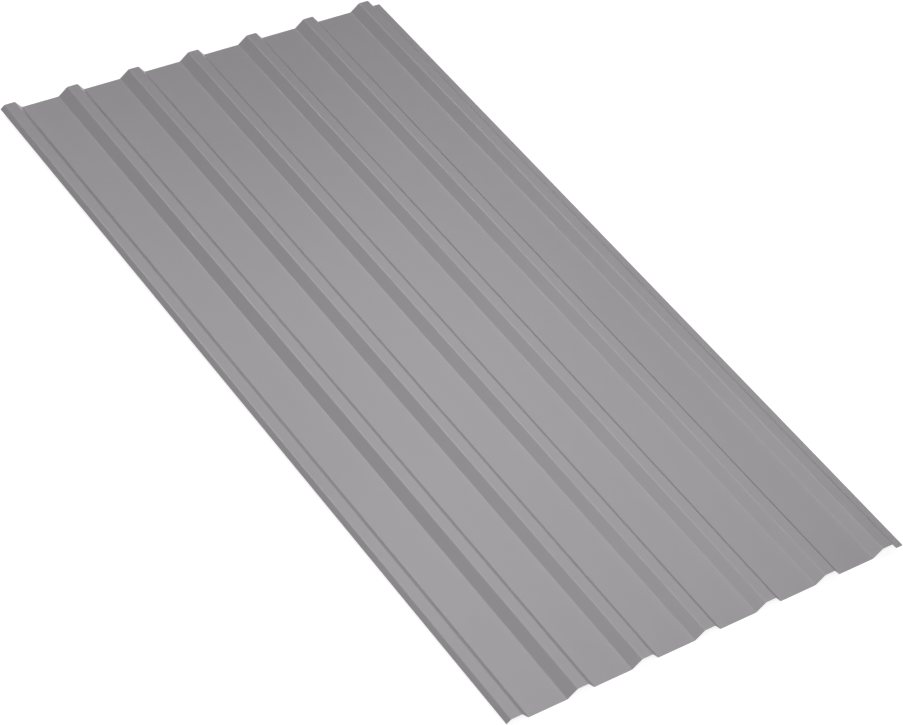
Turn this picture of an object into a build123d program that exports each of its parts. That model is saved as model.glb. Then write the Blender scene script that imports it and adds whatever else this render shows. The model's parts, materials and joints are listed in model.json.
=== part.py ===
from build123d import *

import os

# Ribbed steel roofing sheet, roll formed from one strip.
# Trapezoidal ribs run along Y, X goes across them and Z is up. The sheet lies with its pans down,
# as it would on a floor or a purlin. The origin is the middle of its outline, on the plane that
# the pans rest on. Lengths are in millimetres.

# Strip
SHEET_LENGTH = 1828.8
SHEET_THICKNESS = 0.5
INNER_BEND_RADIUS = 3.5

# Section, measured on the upper face between the sharp corners of the bends
PITCH = 152.4
RIB_COUNT = 7
CREST_WIDTH = 25.1
FLANK_RUN = 19.2
RIB_HEIGHT = 20.3

# The first rib's outer flank stops short, to lap over the rib of the sheet beside it
LAP_FLANK_RUN = 8.7

# A narrow leg beyond the last rib, which bears on the purlin under that lap
LEG_WIDTH = 16.8


def upper_corners():
    """Sharp corners of the upper face, from the lap edge to the leg, with the first rib at X = 0."""
    pan_z = SHEET_THICKNESS
    crest_z = pan_z + RIB_HEIGHT
    crest = CREST_WIDTH / 2
    foot = crest + FLANK_RUN
    corners = [(-crest - LAP_FLANK_RUN, crest_z - RIB_HEIGHT * LAP_FLANK_RUN / FLANK_RUN)]
    for rib in range(RIB_COUNT):
        centre = rib * PITCH
        if rib > 0:
            corners.append((centre - foot, pan_z))
        corners += [(centre - crest, crest_z), (centre + crest, crest_z), (centre + foot, pan_z)]
    corners.append(((RIB_COUNT - 1) * PITCH + foot + LEG_WIDTH, pan_z))
    return corners


def bend_radii(corners):
    """Radius of the upper face at each bend: outside it at a crest, and inside it at a pan."""
    outer = INNER_BEND_RADIUS + SHEET_THICKNESS
    return [outer if z > SHEET_THICKNESS else INNER_BEND_RADIUS for _, z in corners[1:-1]]


def section():
    """Cross-section of the sheet, centred on X = 0."""
    corners = upper_corners()
    middle = (corners[0][0] + corners[-1][0]) / 2
    centred = [(x - middle, z) for x, z in corners]
    upper_face = FilletPolyline(*centred, radius=bend_radii(centred))
    return make_face(offset(upper_face, amount=SHEET_THICKNESS, side=Side.RIGHT))


def roofing_sheet():
    """The whole sheet, as one solid."""
    return extrude(Plane.XZ * section(), amount=SHEET_LENGTH / 2, both=True)


os.makedirs("parts", exist_ok=True)
export_step(roofing_sheet(), "parts/roofing_sheet.step")
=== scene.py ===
import json
import math

import bpy
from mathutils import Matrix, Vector


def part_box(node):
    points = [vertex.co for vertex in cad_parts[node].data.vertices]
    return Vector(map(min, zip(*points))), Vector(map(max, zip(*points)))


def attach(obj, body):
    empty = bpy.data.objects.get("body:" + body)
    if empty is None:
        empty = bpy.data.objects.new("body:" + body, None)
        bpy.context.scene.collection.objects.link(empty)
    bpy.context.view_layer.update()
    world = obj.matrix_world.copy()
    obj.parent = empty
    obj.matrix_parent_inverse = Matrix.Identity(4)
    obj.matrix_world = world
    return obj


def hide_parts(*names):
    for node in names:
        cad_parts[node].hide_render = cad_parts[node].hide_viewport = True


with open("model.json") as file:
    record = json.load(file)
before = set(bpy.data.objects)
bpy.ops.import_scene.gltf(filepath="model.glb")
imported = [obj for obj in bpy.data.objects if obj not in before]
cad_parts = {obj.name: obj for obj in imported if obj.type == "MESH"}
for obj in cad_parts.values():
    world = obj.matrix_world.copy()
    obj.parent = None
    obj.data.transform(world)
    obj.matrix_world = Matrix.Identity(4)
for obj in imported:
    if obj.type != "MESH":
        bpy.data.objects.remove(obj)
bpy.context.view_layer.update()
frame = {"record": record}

bl_info = {
    "name": "Ribbed Roofing Sheet",
    "version": (1, 0, 0),
    "blender": (4, 5, 0),
    "location": "View3D > Sidebar > Roofing Sheet",
    "description": "Builds a painted, roll-formed steel roofing sheet on a plain studio floor",
    "category": "Object",
}

SHEET_NODE = "roofing_sheet"

SHEET_LOW, SHEET_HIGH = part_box(SHEET_NODE)
MOUNT = {mount["name"]: mount["pos_m"] for mount in frame["record"]["mounts"]}
FIRST_RIB_X = MOUNT["lap_crest_underside"][0]
LAST_RIB_X = MOUNT["lap_seat"][0]
THICKNESS = MOUNT["pan_upper_face"][2]
CREST_Z = MOUNT["lap_seat"][2]

PAINT_FACE, BACKER_FACE, CUT_FACE = range(3)

# Angle past which an edge is shaded sharp, and past which a cut edge is rounded
SHARP_ANGLE = math.radians(40)
ROUNDING_ANGLE = math.radians(60)
ROUNDING_SEGMENTS = 2

# Noise scales, in cells to the metre, with one for each axis where the noise is stretched
PEEL_SCALE = 420.0
WAVE_SCALE = (22.0, 2.2, 22.0)
DRIFT_SCALE = 5.0
STREAK_SCALE = (3000.0, 3000.0, 500.0)

# Part of its full range, 0 to 1, that a noise mostly stays in
NOISE_LOW = 0.3
NOISE_HIGH = 0.7

# Relief of the coatings: strength, height in metres, and how much of it the peel and waves take
RELIEF_STRENGTH = 0.8
RELIEF_HEIGHT = 0.0001
WEATHER_PEEL = 1.1
BACKER_PEEL = 1.5
ROLL_WAVE = 0.04

# How far shade and roughness drift to either side of their middle
WEATHER_SHADE_DRIFT = 0.012
BACKER_SHADE_DRIFT = 0.03
COAT_GLOSS_DRIFT = 0.015

# Middle and drift of the shade and roughness of the cut edge
EDGE_SHADE = (0.92, 0.12)
EDGE_ROUGHNESS = (0.42, 0.1)

SENSOR_WIDTH_MM = 36
FLOOR_SIDES = 96
FLOOR_RINGS = 8
SWEEP_STEPS = 12

# Each lamp has its name, place, the point that it faces, width, depth and power in watts
LAMPS = (
    ("Near Left Softbox", (-2.5, -2.5, 3.54), (0, 0, 0), 1.5, 1.5, 73.5),
    ("Left Strip", (-1.72, 1.25, 2.12), (0, 0, 0), 2.5, 0.8, 9.2),
    ("Far Left Softbox", (-2.8, 2.8, 5.7), (0, 0, 0), 1.8, 1.8, 53),
    ("Far End Softbox", (0, 4.0, 5.7), (0, 0, 0), 1.8, 1.8, 90),
    ("Back Strip", (1.96, 1.96, 2.88), (0, 0, 0), 3.6, 0.8, 15.5),
    ("Back Softbox", (2.32, 2.32, 2.29), (0, 0, 0), 1.0, 1.0, 3.4),
    ("Top Panel", (0, -0.6, 1.0), (0, -0.6, 0), 0.8, 1.8, 5.0),
)


class SheetSizes(bpy.types.PropertyGroup):
    """Sizes of the sheet's section that its box and mounts do not give"""

    rib_count: bpy.props.IntProperty(
        name="Ribs", description="Ribs across the sheet", default=7, min=2
    )
    crest_width: bpy.props.FloatProperty(
        name="Crest Width",
        description="Flat top of a rib, between the sharp corners of its bends",
        default=0.0251,
        unit="LENGTH",
    )
    flank_run: bpy.props.FloatProperty(
        name="Flank Run",
        description="Width across the sheet that one sloping side of a rib takes up",
        default=0.0192,
        unit="LENGTH",
    )
    inner_bend_radius: bpy.props.FloatProperty(
        name="Inner Bend Radius",
        description="Radius on the inside of every bend",
        default=0.0035,
        unit="LENGTH",
    )
    bend_steps: bpy.props.IntProperty(
        name="Bend Steps", description="Facets round each bend", default=10, min=2
    )
    guard_width: bpy.props.FloatProperty(
        name="Guard Width",
        description="Narrow strip beside each bend that keeps the flat next to it flat in shading",
        default=0.0006,
        unit="LENGTH",
    )
    row_spacing: bpy.props.FloatProperty(
        name="Row Spacing",
        description="Distance along the ribs between rows of the mesh",
        default=0.0508,
        unit="LENGTH",
    )
    edge_rounding: bpy.props.FloatProperty(
        name="Edge Rounding",
        description="Rounding that the shear leaves along a cut edge",
        default=0.00009,
        unit="LENGTH",
        precision=5,
    )


class PaintFinish(bpy.types.PropertyGroup):
    """Colours and gloss of the coatings and of the bare cut edge"""

    weather_colour: bpy.props.FloatVectorProperty(
        name="Weather Face",
        description="Coil paint on the weather face",
        default=(0.352, 0.337, 0.356),
        subtype="COLOR",
        size=3,
        min=0,
        max=1,
    )
    weather_roughness: bpy.props.FloatProperty(
        name="Weather Roughness",
        description="Satin gloss of the weather face",
        default=0.3,
        subtype="FACTOR",
    )
    backer_colour: bpy.props.FloatVectorProperty(
        name="Backer",
        description="Thin wash coat on the underside",
        default=(0.46, 0.45, 0.43),
        subtype="COLOR",
        size=3,
        min=0,
        max=1,
    )
    backer_roughness: bpy.props.FloatProperty(
        name="Backer Roughness",
        description="Gloss of the wash coat",
        default=0.58,
        subtype="FACTOR",
    )
    edge_colour: bpy.props.FloatVectorProperty(
        name="Cut Edge",
        description="Zinc-coated steel that shows where the sheet was sheared",
        default=(0.50, 0.51, 0.52),
        subtype="COLOR",
        size=3,
        min=0,
        max=1,
    )


class StageSetup(bpy.types.PropertyGroup):
    """Floor, light and camera"""

    floor_radius: bpy.props.FloatProperty(
        name="Floor Radius",
        description="Radius of the floor's flat part",
        default=8.0,
        unit="LENGTH",
    )
    sweep_radius: bpy.props.FloatProperty(
        name="Sweep Radius",
        description="Radius of the curve by which the floor turns up into its wall",
        default=1.5,
        unit="LENGTH",
    )
    wall_height: bpy.props.FloatProperty(
        name="Wall Height",
        description="Height of the wall round the floor",
        default=3.0,
        unit="LENGTH",
    )
    floor_colour: bpy.props.FloatVectorProperty(
        name="Floor",
        description="Matt floor, as the light sees it",
        default=(0.32, 0.32, 0.32),
        subtype="COLOR",
        size=3,
        min=0,
        max=1,
    )
    floor_lift: bpy.props.FloatProperty(
        name="Floor Lift",
        description="White added to the floor where it is seen, and not to the light from it",
        default=0.85,
    )
    ambient: bpy.props.FloatProperty(
        name="Ambient", description="Even light from all round", default=0.03
    )
    lens: bpy.props.FloatProperty(
        name="Lens",
        description="Focal length on a sensor 36 mm wide",
        default=112.866,
        unit="CAMERA",
    )
    camera_location: bpy.props.FloatVectorProperty(
        name="Camera Location",
        description="Camera's place over the lap edge and the near end",
        default=(-3.00246, -3.00156, 3.88183),
        subtype="TRANSLATION",
        size=3,
    )
    camera_turn: bpy.props.FloatVectorProperty(
        name="Camera Turn",
        description="Camera's rotation about X, Y and Z",
        default=(math.radians(45.0669), math.radians(-10.0198), math.radians(-35.0118)),
        subtype="EULER",
        size=3,
    )
    camera_shift: bpy.props.FloatVectorProperty(
        name="Camera Shift",
        description="Sideways and upward shift, as a share of the picture's width",
        default=(0.046455, 0.039398),
        size=2,
    )


def up_normal(heading):
    """Normal of the upper face where the section runs at this heading, in the X-Z plane."""
    return Vector((-math.sin(heading), math.cos(heading)))


def section_corners(sizes):
    """Sharp corners of the upper face from lap edge to leg, as (x, z, heading beyond it)."""
    pan_z = THICKNESS
    pitch = (LAST_RIB_X - FIRST_RIB_X) / (sizes.rib_count - 1)
    half_crest = sizes.crest_width / 2
    half_foot = half_crest + sizes.flank_run
    slope = math.atan2(CREST_Z - pan_z, sizes.flank_run)
    lap_run = FIRST_RIB_X - half_crest - SHEET_LOW.x
    corners = [(SHEET_LOW.x, CREST_Z - lap_run * math.tan(slope), slope)]
    for rib in range(sizes.rib_count):
        centre = FIRST_RIB_X + rib * pitch
        if rib > 0:
            corners.append((centre - half_foot, pan_z, slope))
        corners.append((centre - half_crest, CREST_Z, 0.0))
        corners.append((centre + half_crest, CREST_Z, -slope))
        corners.append((centre + half_foot, pan_z, 0.0))
    corners.append((SHEET_HIGH.x, pan_z, 0.0))
    return corners


def bend(corner, before, after, sizes):
    """Points and headings round one bend of the upper face."""
    left_turn = after > before
    radius = sizes.inner_bend_radius if left_turn else sizes.inner_bend_radius + THICKNESS
    side = 1 if left_turn else -1
    tangent = radius * math.tan(abs(after - before) / 2)
    start = corner - tangent * Vector((math.cos(before), math.sin(before)))
    centre = start + side * radius * up_normal(before)
    points = []
    for step in range(sizes.bend_steps + 1):
        heading = before + (after - before) * step / sizes.bend_steps
        points.append((centre - side * radius * up_normal(heading), heading))
    return points


def upper_face(sizes):
    """Points and headings across the upper face, with a guard strip beside each bend."""
    corners = section_corners(sizes)
    first = Vector(corners[0][:2])
    line = [(first, corners[0][2])]
    for number in range(1, len(corners)):
        corner = Vector(corners[number][:2])
        before = corners[number - 1][2]
        along = Vector((math.cos(before), math.sin(before)))
        if number == len(corners) - 1:
            stretch = [(corner, before)]
        else:
            stretch = bend(corner, before, corners[number][2], sizes)
        line.append((line[-1][0] + sizes.guard_width * along, before))
        line.append((stretch[0][0] - sizes.guard_width * along, before))
        line += stretch
    return line


def sheet_mesh(sizes):
    """Closed mesh of the whole sheet: weather face, underside and the cut edges all round."""
    line = upper_face(sizes)
    columns = len(line)
    length = SHEET_HIGH.y - SHEET_LOW.y
    rows = round(length / sizes.row_spacing) + 1
    vertices = []
    for depth in (0.0, THICKNESS):
        for row in range(rows):
            y = SHEET_LOW.y + length * row / (rows - 1)
            for point, heading in line:
                x, z = point - depth * up_normal(heading)
                vertices.append((x, y, z))
    under = rows * columns
    faces, kinds = [], []
    for row in range(rows - 1):
        for column in range(columns - 1):
            a = row * columns + column
            b, c, d = a + 1, a + 1 + columns, a + columns
            faces.append((a, b, c, d))
            faces.append((under + d, under + c, under + b, under + a))
            kinds += [PAINT_FACE, BACKER_FACE]
    for column in range(columns - 1):
        near, far = column, (rows - 1) * columns + column
        faces.append((under + near, under + near + 1, near + 1, near))
        faces.append((far, far + 1, under + far + 1, under + far))
        kinds += [CUT_FACE, CUT_FACE]
    for row in range(rows - 1):
        lap, leg = row * columns, row * columns + columns - 1
        faces.append((lap, lap + columns, under + lap + columns, under + lap))
        faces.append((under + leg, under + leg + columns, leg + columns, leg))
        kinds += [CUT_FACE, CUT_FACE]
    mesh = bpy.data.meshes.new("ribbed_sheet")
    mesh.from_pydata(vertices, [], faces)
    mesh.polygons.foreach_set("material_index", kinds)
    mesh.shade_smooth()
    mesh.set_sharp_from_angle(angle=SHARP_ANGLE)
    mesh.validate()
    mesh.update()
    return mesh


def add_node(tree, kind, **values):
    """New node in the tree, with attributes and named or numbered inputs set."""
    node = tree.nodes.new(kind)
    for name, value in values.items():
        if name == "inputs":
            for socket, number in value.items():
                node.inputs[socket].default_value = number
        else:
            setattr(node, name, value)
    return node


def group_with(name, inputs, outputs):
    """Empty shader node group with float inputs and outputs of these names."""
    tree = bpy.data.node_groups.new(name, "ShaderNodeTree")
    for socket, value in inputs:
        item = tree.interface.new_socket(socket, in_out="INPUT", socket_type="NodeSocketFloat")
        item.default_value = value
    for socket in outputs:
        tree.interface.new_socket(socket, in_out="OUTPUT", socket_type="NodeSocketFloat")
    return tree, tree.nodes.new("NodeGroupInput"), tree.nodes.new("NodeGroupOutput")


def coating_group():
    """Coil coating: height of its fine orange peel and long roll waves, and a slow drift."""
    tree, given, out = group_with(
        "Coil Coating",
        [("Peel Scale", PEEL_SCALE), ("Peel Depth", WEATHER_PEEL), ("Wave Depth", ROLL_WAVE)],
        ["Height", "Drift"],
    )
    link = tree.links.new
    place = add_node(tree, "ShaderNodeTexCoord")

    peel = add_node(tree, "ShaderNodeTexNoise", inputs={"Detail": 2.0, "Roughness": 0.45})
    link(place.outputs["Object"], peel.inputs["Vector"])
    link(given.outputs["Peel Scale"], peel.inputs["Scale"])
    peel_part = add_node(tree, "ShaderNodeMath", operation="MULTIPLY")
    link(peel.outputs["Fac"], peel_part.inputs[0])
    link(given.outputs["Peel Depth"], peel_part.inputs[1])

    stretch = add_node(tree, "ShaderNodeMapping", inputs={"Scale": WAVE_SCALE})
    link(place.outputs["Object"], stretch.inputs["Vector"])
    wave = add_node(tree, "ShaderNodeTexNoise", inputs={"Scale": 1.0, "Detail": 1.0})
    link(stretch.outputs["Vector"], wave.inputs["Vector"])
    wave_part = add_node(tree, "ShaderNodeMath", operation="MULTIPLY")
    link(wave.outputs["Fac"], wave_part.inputs[0])
    link(given.outputs["Wave Depth"], wave_part.inputs[1])

    height = add_node(tree, "ShaderNodeMath", operation="ADD")
    link(peel_part.outputs[0], height.inputs[0])
    link(wave_part.outputs[0], height.inputs[1])
    link(height.outputs[0], out.inputs["Height"])

    drift = add_node(tree, "ShaderNodeTexNoise", inputs={"Scale": DRIFT_SCALE, "Detail": 4.0})
    link(place.outputs["Object"], drift.inputs["Vector"])
    link(drift.outputs["Fac"], out.inputs["Drift"])
    return tree


def spread(tree, noise, middle, drift):
    """Value that a noise moves to either side of its middle."""
    node = add_node(
        tree,
        "ShaderNodeMapRange",
        inputs={
            "From Min": NOISE_LOW,
            "From Max": NOISE_HIGH,
            "To Min": middle - drift,
            "To Max": middle + drift,
        },
    )
    tree.links.new(noise, node.inputs["Value"])
    return node.outputs["Result"]


def shaded(tree, colour, shade):
    """Colour made lighter or darker by a shade that changes over the surface."""
    mix = add_node(tree, "ShaderNodeMix", data_type="RGBA", blend_type="MULTIPLY")
    mix.inputs["Factor"].default_value = 1.0
    mix.inputs["A"].default_value = (*colour, 1.0)
    tree.links.new(shade, mix.inputs["B"])
    return mix.outputs["Result"]


def coated_material(name, coating, colour, roughness, peel, shade_drift):
    """Painted face: the coating's drift varies its colour and gloss, and the height its normal."""
    material = bpy.data.materials.new(name)
    material.use_nodes = True
    tree = material.node_tree
    shader = tree.nodes["Principled BSDF"]
    coat = add_node(tree, "ShaderNodeGroup", node_tree=coating, inputs={"Peel Depth": peel})
    shade = spread(tree, coat.outputs["Drift"], 1.0, shade_drift)
    tree.links.new(shaded(tree, colour, shade), shader.inputs["Base Color"])
    gloss = spread(tree, coat.outputs["Drift"], roughness, COAT_GLOSS_DRIFT)
    tree.links.new(gloss, shader.inputs["Roughness"])
    relief = add_node(
        tree, "ShaderNodeBump", inputs={"Strength": RELIEF_STRENGTH, "Distance": RELIEF_HEIGHT}
    )
    tree.links.new(coat.outputs["Height"], relief.inputs["Height"])
    tree.links.new(relief.outputs["Normal"], shader.inputs["Normal"])
    return material


def cut_edge_material(colour):
    """Sheared zinc-coated steel: fine streaks across the thickness."""
    material = bpy.data.materials.new("Sheared Edge")
    material.use_nodes = True
    tree = material.node_tree
    shader = tree.nodes["Principled BSDF"]
    shader.inputs["Metallic"].default_value = 1.0
    place = add_node(tree, "ShaderNodeTexCoord")
    stretch = add_node(tree, "ShaderNodeMapping", inputs={"Scale": STREAK_SCALE})
    tree.links.new(place.outputs["Object"], stretch.inputs["Vector"])
    streak = add_node(tree, "ShaderNodeTexNoise", inputs={"Scale": 1.0, "Detail": 3.0})
    tree.links.new(stretch.outputs["Vector"], streak.inputs["Vector"])
    shade = spread(tree, streak.outputs["Fac"], *EDGE_SHADE)
    tree.links.new(shaded(tree, colour, shade), shader.inputs["Base Color"])
    gloss = spread(tree, streak.outputs["Fac"], *EDGE_ROUGHNESS)
    tree.links.new(gloss, shader.inputs["Roughness"])
    return material


def seen_directly(tree):
    """1 where a surface is seen, also in a reflection or through glass, and 0 for its light."""
    path = add_node(tree, "ShaderNodeLightPath")
    total = path.outputs["Is Camera Ray"]
    for name in ("Is Glossy Ray", "Is Transmission Ray"):
        either = add_node(tree, "ShaderNodeMath", operation="MAXIMUM")
        tree.links.new(total, either.inputs[0])
        tree.links.new(path.outputs[name], either.inputs[1])
        total = either.outputs[0]
    return total


def floor_material(colour, lift):
    """Matt floor that keeps shadows, lifted to white where it is seen."""
    material = bpy.data.materials.new("Studio Floor")
    material.use_nodes = True
    tree = material.node_tree
    shader = tree.nodes["Principled BSDF"]
    shader.inputs["Base Color"].default_value = (*colour, 1.0)
    shader.inputs["Roughness"].default_value = 1.0
    shader.inputs["Specular IOR Level"].default_value = 0.0
    shader.inputs["Emission Color"].default_value = (1.0, 1.0, 1.0, 1.0)
    strength = add_node(tree, "ShaderNodeMath", operation="MULTIPLY", inputs={1: lift})
    tree.links.new(seen_directly(tree), strength.inputs[0])
    tree.links.new(strength.outputs[0], shader.inputs["Emission Strength"])
    return material


def studio_world(ambient):
    """Even light from all round, over the wall of the floor."""
    world = bpy.data.worlds.new("Studio")
    world.use_nodes = True
    background = world.node_tree.nodes["Background"]
    background.inputs["Color"].default_value = (1.0, 1.0, 1.0, 1.0)
    background.inputs["Strength"].default_value = ambient
    bpy.context.scene.world = world


def floor_mesh(stage):
    """Round floor that turns up into a low wall, so that its edge never shows."""
    profile = [(stage.floor_radius * ring / FLOOR_RINGS, 0.0) for ring in range(1, FLOOR_RINGS + 1)]
    for step in range(1, SWEEP_STEPS + 1):
        turn = math.radians(90) * step / SWEEP_STEPS
        radius = stage.floor_radius + stage.sweep_radius * math.sin(turn)
        profile.append((radius, stage.sweep_radius * (1 - math.cos(turn))))
    profile.append((stage.floor_radius + stage.sweep_radius, stage.wall_height))
    vertices = [(0.0, 0.0, 0.0)]
    for radius, z in profile:
        for side in range(FLOOR_SIDES):
            angle = math.tau * side / FLOOR_SIDES
            vertices.append((radius * math.cos(angle), radius * math.sin(angle), z))
    faces = []
    for side in range(FLOOR_SIDES):
        beside = (side + 1) % FLOOR_SIDES
        faces.append((0, 1 + side, 1 + beside))
        for ring in range(len(profile) - 1):
            inner = 1 + ring * FLOOR_SIDES
            outer = inner + FLOOR_SIDES
            faces.append((inner + side, outer + side, outer + beside, inner + beside))
    mesh = bpy.data.meshes.new("studio_floor")
    mesh.from_pydata(vertices, [], faces)
    mesh.shade_smooth()
    return mesh


def add_softbox(name, location, target, width, depth, power):
    """Rectangular area light at a place, facing a point."""
    light = bpy.data.lights.new(name, "AREA")
    light.shape = "RECTANGLE"
    light.size = width
    light.size_y = depth
    light.energy = power
    lamp = bpy.data.objects.new(name, light)
    bpy.context.collection.objects.link(lamp)
    lamp.location = location
    facing = Vector(target) - Vector(location)
    lamp.rotation_euler = facing.to_track_quat("-Z", "Y").to_euler()
    lamp.visible_camera = False


class ROOFSHEET_OT_sheet(bpy.types.Operator):
    """Build the ribbed sheet with its painted faces and sheared edges"""

    bl_idname = "roofsheet.sheet"
    bl_label = "Ribbed Sheet"

    def execute(self, context):
        sizes, finish = context.scene.roofsheet_sizes, context.scene.roofsheet_finish
        sheet = bpy.data.objects.new("ribbed_sheet", sheet_mesh(sizes))
        context.collection.objects.link(sheet)
        coating = coating_group()
        weather = coated_material(
            "Weather Coat",
            coating,
            finish.weather_colour,
            finish.weather_roughness,
            WEATHER_PEEL,
            WEATHER_SHADE_DRIFT,
        )
        backer = coated_material(
            "Backer Coat",
            coating,
            finish.backer_colour,
            finish.backer_roughness,
            BACKER_PEEL,
            BACKER_SHADE_DRIFT,
        )
        for material in (weather, backer, cut_edge_material(finish.edge_colour)):
            sheet.data.materials.append(material)
        rounding = sheet.modifiers.new("Sheared Edge", "BEVEL")
        rounding.width = sizes.edge_rounding
        rounding.segments = ROUNDING_SEGMENTS
        rounding.limit_method = "ANGLE"
        rounding.angle_limit = ROUNDING_ANGLE
        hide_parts(SHEET_NODE)
        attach(sheet, "root")
        return {"FINISHED"}


class ROOFSHEET_OT_stage(bpy.types.Operator):
    """Set up the floor, the soft light and the camera"""

    bl_idname = "roofsheet.stage"
    bl_label = "Studio Stage"

    def execute(self, context):
        stage = context.scene.roofsheet_stage
        floor = bpy.data.objects.new("studio_floor", floor_mesh(stage))
        floor.data.materials.append(floor_material(stage.floor_colour, stage.floor_lift))
        context.collection.objects.link(floor)
        studio_world(stage.ambient)
        for lamp in LAMPS:
            add_softbox(*lamp)

        camera = bpy.data.cameras.new("Camera")
        camera.lens = stage.lens
        camera.sensor_width = SENSOR_WIDTH_MM
        camera.shift_x, camera.shift_y = stage.camera_shift
        view = bpy.data.objects.new("Camera", camera)
        context.collection.objects.link(view)
        view.location = stage.camera_location
        view.rotation_euler = stage.camera_turn
        context.scene.camera = view
        context.scene.view_settings.view_transform = "Standard"
        return {"FINISHED"}


class ROOFSHEET_PT_panel(bpy.types.Panel):
    """Roofing sheet sizes, finish and stage"""

    bl_label = "Roofing Sheet"
    bl_idname = "ROOFSHEET_PT_panel"
    bl_space_type = "VIEW_3D"
    bl_region_type = "UI"
    bl_category = "Roofing Sheet"

    def draw(self, context):
        layout = self.layout
        for group in ("roofsheet_sizes", "roofsheet_finish", "roofsheet_stage"):
            values = getattr(context.scene, group)
            box = layout.box()
            for name in values.bl_rna.properties.keys():
                if name not in ("rna_type", "name"):
                    box.prop(values, name)
        layout.operator(ROOFSHEET_OT_sheet.bl_idname)
        layout.operator(ROOFSHEET_OT_stage.bl_idname)


CLASSES = (
    SheetSizes,
    PaintFinish,
    StageSetup,
    ROOFSHEET_OT_sheet,
    ROOFSHEET_OT_stage,
    ROOFSHEET_PT_panel,
)


def register():
    for cls in CLASSES:
        bpy.utils.register_class(cls)
    bpy.types.Scene.roofsheet_sizes = bpy.props.PointerProperty(type=SheetSizes)
    bpy.types.Scene.roofsheet_finish = bpy.props.PointerProperty(type=PaintFinish)
    bpy.types.Scene.roofsheet_stage = bpy.props.PointerProperty(type=StageSetup)


def unregister():
    del bpy.types.Scene.roofsheet_stage
    del bpy.types.Scene.roofsheet_finish
    del bpy.types.Scene.roofsheet_sizes
    for cls in reversed(CLASSES):
        bpy.utils.unregister_class(cls)


def main():
    register()
    bpy.ops.roofsheet.sheet()
    bpy.ops.roofsheet.stage()


if __name__ == "__main__":
    main()
